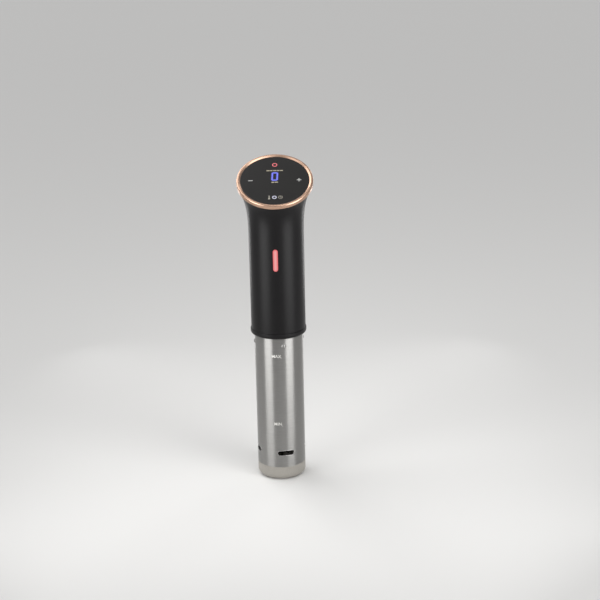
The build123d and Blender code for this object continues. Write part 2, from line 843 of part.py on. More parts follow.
# ---------------------------------------------------------------- every piece, by node name
PIECES = {
    "housing": make_housing,
    "collar_ring": make_collar_ring,
    "bulkhead": make_bulkhead,
    "bulkhead_seal": make_bulkhead_seal,
    "bulkhead_screws": make_bulkhead_screws,
    "bezel_ring": make_bezel_ring,
    "glass_gasket": make_glass_gasket,
    "touch_glass": make_touch_glass,
    "display_carrier": make_display_carrier,
    "display_board": make_display_board,
    "led_display": make_led_display,
    "touch_pads": make_touch_pads,
    "buzzer": make_buzzer,
    "display_screws": make_display_screws,
    "light_bar": make_light_bar,
    "light_bar_board": make_light_bar_board,
    "inner_frame": make_inner_frame,
    "frame_screws": make_frame_screws,
    "power_board": make_power_board,
    "relay": make_relay,
    "transformer": make_transformer,
    "capacitors": make_capacitors,
    "triac_heatsink": make_triac_heatsink,
    "terminal_block": make_terminal_block,
    "cord_gland": make_cord_gland,
    "gland_nut": make_gland_nut,
    "motor_can": make_motor_can,
    "motor_end_plate": make_motor_end_plate,
    "motor_magnets": make_motor_magnets,
    "motor_bearings": make_motor_bearings,
    "motor_screws": make_motor_screws,
    "motor_rotor": make_motor_rotor,
    "drive_shaft": make_drive_shaft,
    "shaft_seal": make_shaft_seal,
    "shaft_tube": make_shaft_tube,
    "pump_bush": make_pump_bush,
    "impeller": make_impeller,
    "impeller_nut": make_impeller_nut,
    "heater": make_heater,
    "temperature_probe": make_temperature_probe,
    "level_pins": make_level_pins,
    "sleeve": make_sleeve,
    "sleeve_studs": make_sleeve_studs,
    "end_cap": make_end_cap,
    "clip_bracket": make_clip_bracket,
    "clip_screws": make_clip_screws,
    "clip_pin": make_clip_pin,
    "clip_spring": make_clip_spring,
    "clip_lever": make_clip_lever,
    "clip_pad": make_clip_pad,
}

os.makedirs("parts", exist_ok=True)
for name, make in PIECES.items():
    export_step(make(), f"parts/{name}.step")
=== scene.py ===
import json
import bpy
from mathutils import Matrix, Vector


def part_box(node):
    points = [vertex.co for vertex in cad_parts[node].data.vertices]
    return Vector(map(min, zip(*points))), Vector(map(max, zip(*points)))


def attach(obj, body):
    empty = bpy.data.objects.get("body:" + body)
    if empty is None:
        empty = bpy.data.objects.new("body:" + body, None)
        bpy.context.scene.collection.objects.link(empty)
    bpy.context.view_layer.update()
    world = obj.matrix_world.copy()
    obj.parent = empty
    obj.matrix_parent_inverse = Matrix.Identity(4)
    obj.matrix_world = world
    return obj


bl_info = {
    "name": "Sous Vide Circulator",
    "version": (1, 0, 0),
    "blender": (4, 5, 0),
    "location": "View3D > Sidebar > Circulator",
    "description": "Finishes, panel marks and small trim of an immersion circulator, and its studio",
    "category": "Object",
}

from math import cos, pi, radians, sin

import bmesh
import bpy
from bpy.props import FloatProperty, FloatVectorProperty, IntProperty, PointerProperty
from mathutils import Matrix, Vector

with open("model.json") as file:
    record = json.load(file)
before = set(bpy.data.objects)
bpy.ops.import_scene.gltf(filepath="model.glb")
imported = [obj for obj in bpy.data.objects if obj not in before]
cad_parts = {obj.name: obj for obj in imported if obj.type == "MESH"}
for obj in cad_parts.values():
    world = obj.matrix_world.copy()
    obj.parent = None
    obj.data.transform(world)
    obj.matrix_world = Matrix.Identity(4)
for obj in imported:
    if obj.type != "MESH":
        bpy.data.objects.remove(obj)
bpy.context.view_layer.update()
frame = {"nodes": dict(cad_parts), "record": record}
NODES = frame["nodes"]
MM = 0.001
LENS_FLANGE = 1.2 * MM  # of the light bar, hidden behind the housing's wall
NOISE_LOW, NOISE_HIGH = 0.3, 0.7  # most of a noise's values lie between these
FLOOR_SIZE = 200.0
FLOOR_GAP = 0.2 * MM  # under the foot, so that the two faces don't meet


# ---------------------------------------------------------------- places read from the frame
def low_corner(node):
    return Vector(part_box(node)[0])


def high_corner(node):
    return Vector(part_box(node)[1])


def glass_face():
    """Frame on the touch glass: X across it, Y up its slope, Z out of it."""
    mesh = NODES["touch_glass"].data
    normal = max(mesh.polygons, key=lambda face: face.area * (face.normal.z > 0)).normal.copy()
    top = max(vertex.co.dot(normal) for vertex in mesh.vertices)
    centre = (low_corner("touch_glass") + high_corner("touch_glass")) / 2
    centre += normal * (top - centre.dot(normal))
    across = Vector((1, 0, 0))
    turn = Matrix((across, normal.cross(across), normal)).transposed().to_4x4()
    return Matrix.Translation(centre) @ turn


GLASS = glass_face()
SLEEVE_R = high_corner("sleeve").x
SLEEVE_FOOT = low_corner("sleeve").z
BASE_Z = low_corner("end_cap").z


# ---------------------------------------------------------------- materials
def linear(code, alpha=1.0):
    """Linear colour from an sRGB hex code."""
    parts = [int(code[i : i + 2], 16) / 255 for i in (1, 3, 5)]
    return [c / 12.92 if c <= 0.04045 else ((c + 0.055) / 1.055) ** 2.4 for c in parts] + [alpha]


def add_node(tree, kind, settings=None, links=None):
    """A node of that kind, with its socket values and attributes, and its links from other sockets."""
    node = tree.nodes.new(kind)
    for name, value in (settings or {}).items():
        if isinstance(name, int) or name in node.inputs:
            node.inputs[name].default_value = value
        else:
            setattr(node, name, value)
    for name, source in (links or {}).items():
        tree.links.new(source, node.inputs[name])
    return node


def new_material(name, **sockets):
    """A material with one Principled shader, its sockets set; returns (material, tree, shader)."""
    material = bpy.data.materials.new(name)
    material.use_nodes = True
    shader = material.node_tree.nodes["Principled BSDF"]
    for socket, value in sockets.items():
        shader.inputs[socket.replace("_", " ")].default_value = value
    return material, material.node_tree, shader


def grain(tree, shader, size_mm, depth_mm, stretch=(1, 1, 1), strength=1.0, detail=3.0):
    """Bump of a random grain of that size, and the noise itself, for other links."""
    place = add_node(tree, "ShaderNodeTexCoord")
    scale = [s / (size_mm * MM) for s in stretch]
    mapping = add_node(tree, "ShaderNodeMapping", {"Scale": scale}, {"Vector": place.outputs["Object"]})
    noise = add_node(
        tree,
        "ShaderNodeTexNoise",
        {"Scale": 1.0, "Detail": detail, "Roughness": 0.55},
        {"Vector": mapping.outputs["Vector"]},
    )
    bump = add_node(
        tree,
        "ShaderNodeBump",
        {"Strength": strength, "Distance": depth_mm * MM},
        {"Height": noise.outputs["Fac"]},
    )
    tree.links.new(bump.outputs["Normal"], shader.inputs["Normal"])
    return noise


def spread(tree, shader, source, socket, low, high):
    """A socket that varies between two values with a 0 to 1 source."""
    span = add_node(
        tree,
        "ShaderNodeMapRange",
        {"From Min": NOISE_LOW, "From Max": NOISE_HIGH, "To Min": low, "To Max": high},
        {"Value": source},
    )
    tree.links.new(span.outputs["Result"], shader.inputs[socket])


def add_ramp(tree, source, *stops):
    """Colours blended along a 0 to 1 source, from two (position, colour) stops."""
    ramp = add_node(tree, "ShaderNodeValToRGB", links={"Fac": source})
    for element, (position, colour) in zip(ramp.color_ramp.elements, stops):
        element.position = position
        element.color = colour
    return ramp


def tint(tree, shader, source, colour, swing):
    """Base colour that varies by that share, darker and lighter, with a 0 to 1 source."""
    dark, light = ([c * share for c in colour[:3]] + [1.0] for share in (1 - swing, 1 + swing))
    ramp = add_ramp(tree, source, (NOISE_LOW, dark), (NOISE_HIGH, light))
    tree.links.new(ramp.outputs["Color"], shader.inputs["Base Color"])


def moulded(name, colour, swing, rough, size_mm=0.5, depth_mm=0.01, **more):
    """A moulded plastic or rubber: a fine spark-eroded grain, and gloss that varies a little with it."""
    material, tree, shader = new_material(name, **more)
    noise = grain(tree, shader, size_mm, depth_mm)
    tint(tree, shader, noise.outputs["Fac"], colour, swing)
    spread(tree, shader, noise.outputs["Fac"], "Roughness", rough - 0.04, rough + 0.04)
    return material


def metal(name, colour, swing, rough, size_mm=0.25, stretch=(1, 1, 1), depth_mm=0.002, **more):
    """A metal: a fine grain, stretched along the tool's travel, in both colour and gloss."""
    material, tree, shader = new_material(name, Metallic=1.0, **more)
    noise = grain(tree, shader, size_mm, depth_mm, stretch)
    tint(tree, shader, noise.outputs["Fac"], colour, swing)
    spread(tree, shader, noise.outputs["Fac"], "Roughness", rough - 0.04, rough + 0.05)
    return material


def black_abs(colour):
    """Black ABS, moulded in a finely eroded tool: near-black, with dim broad highlights."""
    return moulded("Black ABS, satin moulded", colour, 0.2, 0.36, 0.45, 0.004, Specular_IOR_Level=0.16)


def rose_gold(colour):
    """Anodised aluminium ring, dyed rose gold and bead blasted: a pale warm satin metal."""
    return metal("Anodised aluminium, rose gold", colour, 0.1, 0.27, 0.4, depth_mm=0.0008)


def panel_glass(colour):
    """Tempered glass, printed black on its back: a deep dark sheet under one clear polished face."""
    material, tree, shader = new_material(
        "Tempered glass, black backed",
        Coat_Weight=0.6,
        Coat_Roughness=0.04,
        Roughness=0.3,
        IOR=1.5,
        Specular_IOR_Level=0.1,
    )
    noise = grain(tree, shader, 30.0, 0.004, strength=0.2, detail=1.0)
    tint(tree, shader, noise.outputs["Fac"], colour, 0.08)
    return material


def lit(name, colour, glow, power):
    """A lamp behind a printed legend: its ink, slightly mottled, and the even glow through it."""
    material, tree, shader = new_material(
        name, Roughness=0.35, Emission_Color=linear(glow), Emission_Strength=power
    )
    noise = grain(tree, shader, 1.5, 0.002)
    tint(tree, shader, noise.outputs["Fac"], linear(colour), 0.08)
    return material


def status_lens(colour):
    """Opal polycarbonate light guide: soft pink where the lamps shine through, redder at its rim."""
    material, tree, shader = new_material(
        "Opal polycarbonate, lit red", Roughness=0.3, Emission_Strength=0.72, Base_Color=linear("#6e3a3b")
    )
    low, high = low_corner("light_bar"), high_corner("light_bar")
    middle = (low + high) / 2
    half_width = (high.x - low.x) / 2 - LENS_FLANGE
    half_length = (high.z - low.z) / 2 - LENS_FLANGE
    place = add_node(tree, "ShaderNodeTexCoord")
    mapping = add_node(
        tree,
        "ShaderNodeMapping",
        {"Location": (-middle.x / half_width, 0, -middle.z / half_width), "Scale": [1 / half_width] * 3},
        {"Vector": place.outputs["Object"]},
    )
    axes = add_node(tree, "ShaderNodeSeparateXYZ", links={"Vector": mapping.outputs["Vector"]})
    # Distance from the bar's middle line, in half widths: 1 all round its round-ended rim
    reach = add_node(tree, "ShaderNodeMath", {"operation": "ABSOLUTE"}, {0: axes.outputs["Z"]})
    over = add_node(
        tree,
        "ShaderNodeMath",
        {"operation": "SUBTRACT", 1: half_length / half_width - 1},
        {0: reach.outputs[0]},
    )
    past = add_node(tree, "ShaderNodeMath", {"operation": "MAXIMUM", 1: 0.0}, {0: over.outputs[0]})
    flat = add_node(tree, "ShaderNodeCombineXYZ", links={"X": axes.outputs["X"], "Z": past.outputs[0]})
    away = add_node(tree, "ShaderNodeVectorMath", {"operation": "LENGTH"}, {0: flat.outputs["Vector"]})
    glow = add_ramp(tree, away.outputs["Value"], (0.15, colour), (0.95, linear("#e0575c")))
    tree.links.new(glow.outputs["Color"], shader.inputs["Emission Color"])
    return material


def ring_polished_steel(colour):
    """Stainless steel tube, polished round and round: its fine rings draw each light out along the tube."""
    material, tree, shader = new_material(
        "Stainless steel, ring polished", Metallic=1.0, Anisotropic=0.95, Anisotropic_Rotation=0.25
    )
    noise = grain(tree, shader, 0.6, 0.0003, (0.06, 0.06, 1))
    tint(tree, shader, noise.outputs["Fac"], colour, 0.05)
    spread(tree, shader, noise.outputs["Fac"], "Roughness", 0.33, 0.38)
    round_axis = add_node(tree, "ShaderNodeTangent", {"direction_type": "RADIAL", "axis": "Z"})
    tree.links.new(round_axis.outputs["Tangent"], shader.inputs["Tangent"])
    return material


def satin_cap(colour):
    """Warm grey nylon, satin moulded: pale and matt, with a soft sheen on its rounded foot."""
    return moulded("Nylon, warm grey", colour, 0.07, 0.48, 0.7, 0.012)


RUBBER = "Nitrile rubber, black"
DRAWN_STEEL = "Stainless steel, drawn"


def inner_finishes():
    """Finishes of what lies inside or behind, by the record's material slot."""
    return {
        # Glass-filled nylon: dull charcoal with a faint fibrous grain
        "inner_plastic": moulded("Glass-filled nylon, charcoal", linear("#242526"), 0.28, 0.55, 0.8, 0.02),
        # Fibreglass board under green solder mask: glossy green, mottled by the weave below
        "circuit_board": moulded("Fibreglass board, green mask", linear("#154829"), 0.35, 0.3, 1.2, 0.01),
        # Potted display block: smooth dark epoxy
        "display_module": moulded("Epoxy, black", linear("#15161a"), 0.33, 0.25, 0.9, 0.004),
        # Open-cell foam: soft dark cells
        "foam_pad": moulded("Conductive foam, grey", linear("#292929"), 0.50, 0.9, 0.6, 0.15),
        # Nitrile rubber: matt black, slightly dusty
        "black_rubber": moulded(RUBBER, linear("#181818"), 0.30, 0.62, 0.6, 0.02),
        # Zinc-plated steel screws: pale and slightly mottled
        "screw_steel": metal("Zinc-plated steel", linear("#b7b9bb"), 0.15, 0.32, 0.6),
        # Drawn stainless rod and tube: bright, with lengthwise die lines
        "polished_steel": metal(DRAWN_STEEL, linear("#b8b7b5"), 0.12, 0.2, 0.3, (1, 1, 0.04)),
        # Oil-tempered spring wire: dark steel with a thin brown film
        "spring_steel": metal("Spring steel, oil tempered", linear("#696664"), 0.23, 0.32, 0.3),
        # Stacked iron sheets: dark, oily, layered along the axis
        "motor_iron": metal("Lamination steel", linear("#56575a"), 0.26, 0.42, 0.5, (0.1, 0.1, 1)),
        # Sintered ferrite: dull near-black ceramic
        "magnet": moulded("Ferrite", linear("#242527"), 0.34, 0.6, 0.4, 0.02),
        # Ground bearing steel: bright and even
        "bearing_steel": metal("Bearing steel, ground", linear("#cecfd1"), 0.08, 0.14, 0.2),
        # Sintered bronze: warm and porous
        "bush_brass": metal("Bronze, sintered", linear("#ab8850"), 0.21, 0.36, 0.3),
        # Relay can of dyed nylon: flat blue
        "relay_case": moulded("Nylon, blue", linear("#153667"), 0.19, 0.4, 0.6, 0.01),
        # Printed shrink sleeve over an aluminium can: glossy slate blue
        "capacitor_can": moulded("Shrink sleeve, slate", linear("#232c40"), 0.31, 0.22, 1.0, 0.005),
        # Extruded aluminium: pale, with drawing lines
        "heatsink_aluminium": metal("Aluminium, extruded", linear("#c4c5c7"), 0.12, 0.3, 0.4, (1, 1, 0.05)),
        # Terminal block of green polyamide
        "terminal_green": moulded("Polyamide, green", linear("#185c30"), 0.24, 0.42, 0.6, 0.01),
    }


def finishes(look):
    """Every finish that a CAD piece uses, by the record's material slot."""
    return {
        "black_shell": black_abs(look.housing),
        "bezel_bronze": rose_gold(look.ring),
        "panel_glass": panel_glass(look.glass),
        "status_lens": status_lens(look.status),
        "sleeve_steel": ring_polished_steel(look.sleeve),
        "cap_plastic": satin_cap(look.cap),
        **inner_finishes(),
    }


# ---------------------------------------------------------------- ways of making a piece
def deselect():
    bpy.ops.object.select_all(action="DESELECT")


def active():
    return bpy.context.view_layer.objects.active


def to_mesh(obj):
    """Turns a curve or text object into a mesh, in place."""
    deselect()
    obj.select_set(True)
    bpy.context.view_layer.objects.active = obj
    bpy.ops.object.convert(target="MESH")
    return active()


def join(objects):
    """One mesh object of several."""
    deselect()
    for obj in objects:
        obj.select_set(True)
    bpy.context.view_layer.objects.active = objects[0]
    bpy.ops.object.join()
    return active()


def settle(obj):
    """Moves an object's place into its mesh."""
    obj.data.transform(obj.matrix_basis)
    obj.matrix_basis = Matrix.Identity(4)
    return obj


def copies(pattern, places):
    """Copies of a piece, each with its own mesh, at each of those places; the pattern itself goes."""
    made = []
    for place in places:
        deselect()
        pattern.select_set(True)
        bpy.context.view_layer.objects.active = pattern
        bpy.ops.object.duplicate(linked=False)
        copy = active()
        copy.data.transform(place)
        made.append(copy)
    bpy.data.objects.remove(pattern)
    return made


def finish_piece(obj, name, body, material, angle=40):
    """Names a piece, gives it its finish and smooth shading, and lets it ride on its body."""
    obj.name = name
    obj.data.name = name
    obj.data.materials.clear()
    obj.data.materials.append(material)
    deselect()
    obj.select_set(True)
    bpy.context.view_layer.objects.active = obj
    bpy.ops.object.mode_set(mode="EDIT")
    bpy.ops.mesh.select_all(action="SELECT")
    bpy.ops.mesh.remove_doubles(threshold=0.000001)
    bpy.ops.mesh.normals_make_consistent(inside=False)
    bpy.ops.object.mode_set(mode="OBJECT")
    bpy.ops.object.shade_smooth_by_angle(angle=radians(angle))
    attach(obj, body)
    return obj


def bar(width, height, depth, x=0.0, y=0.0, turn=0.0, round_share=0.98, segments=5):
    """Flat bar with rounded ends, standing on Z = 0."""
    deselect()
    bpy.ops.mesh.primitive_cube_add(size=1, location=(0, 0, depth / 2))
    obj = active()
    obj.scale = (width, height, depth)
    bpy.ops.object.transform_apply(location=True, rotation=False, scale=True)
    bpy.ops.object.mode_set(mode="EDIT")
    bpy.ops.mesh.select_all(action="DESELECT")
    mesh = bmesh.from_edit_mesh(obj.data)
    for edge in mesh.edges:
        start, end = (v.co for v in edge.verts)
        edge.select = abs(start.z - end.z) > depth / 2
    bmesh.update_edit_mesh(obj.data)
    bpy.ops.mesh.bevel(offset=min(width, height) / 2 * round_share, segments=segments, affect="EDGES")
    bpy.ops.object.mode_set(mode="OBJECT")
    obj.matrix_basis = Matrix.Translation((x, y, 0)) @ Matrix.Rotation(turn, 4, "Z")
    return settle(obj)


def rounded_rib(width, height, depth):
    """Round-ended bar whose upper and lower edges are rounded too, standing on Z = 0."""
    rib = bar(width, height, depth)
    deselect()
    rib.select_set(True)
    bpy.context.view_layer.objects.active = rib
    bevel = rib.modifiers.new("Rounding", "BEVEL")
    bevel.width = min(height, depth) * 0.35
    bevel.segments = 3
    bpy.ops.object.modifier_apply(modifier=bevel.name)
    return rib


def hoop(radius, stroke, depth, x=0.0, y=0.0, start=0.0, end=1.0):
    """Flat round stroke, whole or part, standing on Z = 0, from a bevelled circle."""
    deselect()
    bpy.ops.curve.primitive_bezier_circle_add(radius=radius, location=(0, 0, 0), rotation=(0, 0, pi / 2))
    obj = active()
    obj.data.resolution_u = 16
    obj.data.bevel_depth = stroke / 2
    obj.data.bevel_resolution = 3
    obj.data.bevel_factor_start = start
    obj.data.bevel_factor_end = end
    obj.data.use_fill_caps = start > 0 or end < 1
    obj = settle(to_mesh(obj))
    flatten = Matrix.Diagonal((1, 1, depth / stroke, 1))
    obj.data.transform(Matrix.Translation((x, y, depth / 2)) @ flatten)
    return obj


def lay_on_glass(obj, lift):
    """Places a flat mark on the glass, a hair above it."""
    obj.data.transform(GLASS @ Matrix.Translation((0, 0, lift)))
    return obj


def wrap_on_tube(obj, radius, turn):
    """Wraps a flat piece round the tube: X runs round it from the front, Y up it, Z out of it."""
    for vertex in obj.data.vertices:
        angle = vertex.co.x / radius + turn
        reach = radius + vertex.co.z
        vertex.co = (reach * sin(angle), -reach * cos(angle), vertex.co.y)
    return obj


# ---------------------------------------------------------------- sizes and colours a user would change
class FinishSettings(bpy.types.PropertyGroup):
    """Colours of what shows."""

    housing: FloatVectorProperty(
        name="Housing",
        description="Black ABS of body and head",
        default=linear("#121112"),
        size=4,
        subtype="COLOR",
    )
    ring: FloatVectorProperty(
        name="Ring",
        description="Metal ring round the glass",
        default=linear("#c3a08a"),
        size=4,
        subtype="COLOR",
    )
    glass: FloatVectorProperty(
        name="Glass",
        description="Black backing of the glass",
        default=linear("#181716"),
        size=4,
        subtype="COLOR",
    )
    status: FloatVectorProperty(
        name="Status bar",
        description="Middle of the lit bar",
        default=linear("#e9aaa7"),
        size=4,
        subtype="COLOR",
    )
    sleeve: FloatVectorProperty(
        name="Sleeve", description="Polished steel tube", default=linear("#979694"), size=4, subtype="COLOR"
    )
    cap: FloatVectorProperty(
        name="Cap", description="Nylon cap at the foot", default=linear("#96928b"), size=4, subtype="COLOR"
    )


class PanelSettings(bpy.types.PropertyGroup):
    """Marks on the touch glass."""

    lift: FloatProperty(name="Lift", description="Gap under each mark", default=0.02 * MM, unit="LENGTH")
    depth: FloatProperty(name="Depth", description="Thickness of each mark", default=0.06 * MM, unit="LENGTH")
    digit_height: FloatProperty(
        name="Digit height", description="Height of the lit figure", default=11.6 * MM, unit="LENGTH"
    )
    digit_up: FloatProperty(
        name="Digit place",
        description="Figure's centre above the glass's centre",
        default=6.0 * MM,
        unit="LENGTH",
    )
    key_reach: FloatProperty(
        name="Key reach",
        description="Minus and plus signs, from the centre",
        default=26.5 * MM,
        unit="LENGTH",
    )
    power_up: FloatProperty(
        name="Power place", description="Power sign above the centre", default=24.8 * MM, unit="LENGTH"
    )
    menu_down: FloatProperty(
        name="Menu place", description="Three small signs below the centre", default=27.0 * MM, unit="LENGTH"
    )


class SleeveSettings(bpy.types.PropertyGroup):
    """Water marks and slot rims of the steel sleeve."""

    high_water: FloatProperty(
        name="High water", description="Highest level above the base", default=148.5 * MM, unit="LENGTH"
    )
    low_water: FloatProperty(
        name="Low water", description="Lowest level above the base", default=67.0 * MM, unit="LENGTH"
    )
    letter_height: FloatProperty(
        name="Letter height", description="Height of the water marks", default=3.6 * MM, unit="LENGTH"
    )
    mark_turn: FloatProperty(
        name="Mark turn", description="Marks round from the front", default=radians(-6), subtype="ANGLE"
    )
    slot_turn: FloatProperty(
        name="Slot turn",
        description="First slot round from the front",
        default=radians(11.7),
        subtype="ANGLE",
    )
    slot_width: FloatProperty(
        name="Slot width", description="Width of a slot", default=19.8 * MM, unit="LENGTH"
    )
    slot_height: FloatProperty(
        name="Slot height", description="Height of a slot", default=6.0 * MM, unit="LENGTH"
    )
    slot_rise: FloatProperty(
        name="Slot rise",
        description="Slot's centre above the sleeve's foot",
        default=17.3 * MM,
        unit="LENGTH",
    )
    slots: IntProperty(name="Slots", description="Slots round the sleeve", default=4, min=1)


class ClipSettings(bpy.types.PropertyGroup):
    """Grip and pad of the pot clip."""

    ribs: IntProperty(name="Ribs", description="Ribs on the finger grip", default=6, min=1)
    rib_radius: FloatProperty(
        name="Rib radius",
        description="Roundness of a rib",
        default=0.8 * MM,
        unit="LENGTH",
    )
    rib_pitch: FloatProperty(
        name="Rib pitch",
        description="Distance between ribs",
        default=3.2 * MM,
        unit="LENGTH",
    )
    rib_drop: FloatProperty(
        name="Rib drop", description="First rib below the lever's tip", default=4.0 * MM, unit="LENGTH"
    )
    grip_lean: FloatProperty(
        name="Grip lean", description="Slope of the grip's outer face", default=2 / 26
    )
    pad_ribs: IntProperty(name="Pad ribs", description="Ribs across the pad", default=4, min=1)
    pad_rib_depth: FloatProperty(
        name="Pad rib depth", description="Height of a pad rib", default=0.4 * MM, unit="LENGTH"
    )


class InletSettings(bpy.types.PropertyGroup):
    """Raised rings on the cord's gland."""

    ridges: IntProperty(name="Ridges", description="Rings on the gland's face", default=2, min=1)
    first_radius: FloatProperty(
        name="First radius", description="Radius of the innermost ring", default=4.6 * MM, unit="LENGTH"
    )
    pitch: FloatProperty(name="Pitch", description="Distance between rings", default=1.6 * MM, unit="LENGTH")
    ridge_width: FloatProperty(
        name="Ridge width", description="Width of a ring", default=0.8 * MM, unit="LENGTH"
    )


class StageSettings(bpy.types.PropertyGroup):
    """Camera and light."""

    aim: FloatVectorProperty(
        name="Aim",
        description="Point the camera looks at",
        default=(24.9 * MM, 6.6 * MM, 206.2 * MM),
        unit="LENGTH",
    )
    distance: FloatProperty(name="Distance", description="Camera to aim", default=1.444, unit="LENGTH")
    azimuth: FloatProperty(
        name="Azimuth", description="Camera's turn round the object", default=0.0, subtype="ANGLE"
    )
    elevation: FloatProperty(
        name="Elevation", description="Camera above the horizon", default=radians(17.1), subtype="ANGLE"
    )
    roll: FloatProperty(name="Roll", description="Camera's roll", default=radians(-1.16), subtype="ANGLE")
    field: FloatProperty(
        name="Field",
        description="Camera's field of view",
        default=radians(26.44),
        subtype="ANGLE",
    )
    floor_colour: FloatVectorProperty(
        name="Floor", description="Floor's colour", default=linear("#d6d5d3"), size=4, subtype="COLOR"
    )


# ---------------------------------------------------------------- operators, one for each piece or group
class CIRCULATOR_OT_finishes(bpy.types.Operator):
    """Give every CAD piece the finish of its material slot"""

    bl_idname = "circulator.finishes"
    bl_label = "Finishes"

    def execute(self, context):
        made = finishes(context.scene.circulator_finish)
        slots = {part["node"]: part["material_slot"] for part in frame["record"]["subparts"]}
        for name, node in NODES.items():
            node.data.materials.clear()
            node.data.materials.append(made[slots[name]])
        return {"FINISHED"}


class CIRCULATOR_OT_power_sign(bpy.types.Operator):
    """Lit power sign near the top of the glass"""

    bl_idname = "circulator.power_sign"
    bl_label = "Power sign"

    def execute(self, context):
        panel = context.scene.circulator_panel
        radius = 2.4 * MM
        stroke = 0.95 * MM
        opening = 0.07  # share of the ring left open each side of its top
        stem_width, stem_length = 0.7 * MM, 1.5 * MM
        ring = hoop(radius, stroke, panel.depth, 0, panel.power_up, opening, 1 - opening)
        stem = bar(stem_width, stem_length, panel.depth, 0, panel.power_up + radius)
        sign = lay_on_glass(join([ring, stem]), panel.lift)
        red = lit("Legend, lit red", "#7c3236", "#e8757b", 0.75)
        finish_piece(sign, "power_sign", "body", red)
        return {"FINISHED"}


class CIRCULATOR_OT_figure(bpy.types.Operator):
    """Seven-segment figure 0, lit blue, with the glow round it"""

    bl_idname = "circulator.figure"
    bl_label = "Lit figure"
    half_width_share = 0.235  # of the figure's height
    segment_gap = 0.12 * MM
    lean = 0.04  # sideways, for each unit of height

    def segments(self, panel, stroke, depth, grow):
        """Six bars of the figure, each a flat hexagon, leaning to the right."""
        half_height = panel.digit_height / 4
        half_width = panel.digit_height * self.half_width_share
        gap = self.segment_gap - grow
        upright = bar(stroke, 2 * half_height - 2 * gap, depth, 0, 0, 0, 0.96, 1)
        across = bar(2 * half_width - 2 * gap, stroke, depth, 0, 0, 0, 0.96, 1)
        corners = [(x, y) for x in (-half_width, half_width) for y in (-half_height, half_height)]
        uprights = copies(upright, [Matrix.Translation((x, y, 0)) for x, y in corners])
        ends = copies(across, [Matrix.Translation((0, side * 2 * half_height, 0)) for side in (-1, 1)])
        figure = join(uprights + ends)
        lean = Matrix.Identity(4)
        lean[0][1] = self.lean
        figure.data.transform(Matrix.Translation((0, panel.digit_up, 0)) @ lean)
        return figure

    def execute(self, context):
        panel = context.scene.circulator_panel
        stroke = 1.3 * MM
        halo_stroke, halo_reach = stroke * 1.9, 0.3 * MM
        glow = self.segments(panel, halo_stroke, panel.depth / 2, halo_reach)
        lay_on_glass(glow, panel.lift / 2)
        halo = lit("Glow round the figure", "#15162a", "#3138b4", 0.8)
        finish_piece(glow, "figure_glow", "body", halo)
        figure = lay_on_glass(self.segments(panel, stroke, panel.depth, 0), panel.lift)
        blue = lit("Legend, lit blue", "#34387e", "#7a80ee", 0.8)
        finish_piece(figure, "figure_zero", "body", blue)
        return {"FINISHED"}


class CIRCULATOR_OT_key_signs(bpy.types.Operator):
    """Minus and plus signs at the sides of the glass"""

    bl_idname = "circulator.key_signs"
    bl_label = "Minus and plus"

    def execute(self, context):
        panel = context.scene.circulator_panel
        length = 4.8 * MM
        stroke = 1.05 * MM
        white = lit("Legend, printed white", "#8f8f8d", "#d5d5d2", 0.2)
        left = Matrix.Translation((-panel.key_reach, 0, 0))
        right = Matrix.Translation((panel.key_reach, 0, 0))
        upright = right @ Matrix.Rotation(pi / 2, 4, "Z")
        minus, *arms = copies(bar(length, stroke, panel.depth), (left, right, upright))
        finish_piece(lay_on_glass(minus, panel.lift), "minus_sign", "body", white)
        plus = lay_on_glass(join(arms), panel.lift)
        finish_piece(plus, "plus_sign", "body", white)
        return {"FINISHED"}


class CIRCULATOR_OT_captions(bpy.types.Operator):
    """Plain bars above and below the figure, where a maker prints the units"""

    bl_idname = "circulator.captions"
    bl_label = "Caption bars"

    def execute(self, context):
        panel = context.scene.circulator_panel
        height = 1.5 * MM
        gap = 0.6 * MM
        cream = lit("Legend, printed cream", "#7d7766", "#b5ab90", 0.2)
        rows = {
            "caption_bars_upper": (15.5 * MM, (3.4, 2.6, 3.8, 2.4, 3.4)),
            "caption_bars_lower": (-3.2 * MM, (3.0, 3.6)),
        }
        for name, (up, widths) in rows.items():
            total = sum(widths) * MM + gap * (len(widths) - 1)
            x = -total / 2
            bars = []
            for width in widths:
                bars.append(bar(width * MM, height, panel.depth, x + width * MM / 2, up, 0, 0.5, 3))
                x += width * MM + gap
            finish_piece(lay_on_glass(join(bars), panel.lift), name, "body", cream)
        return {"FINISHED"}


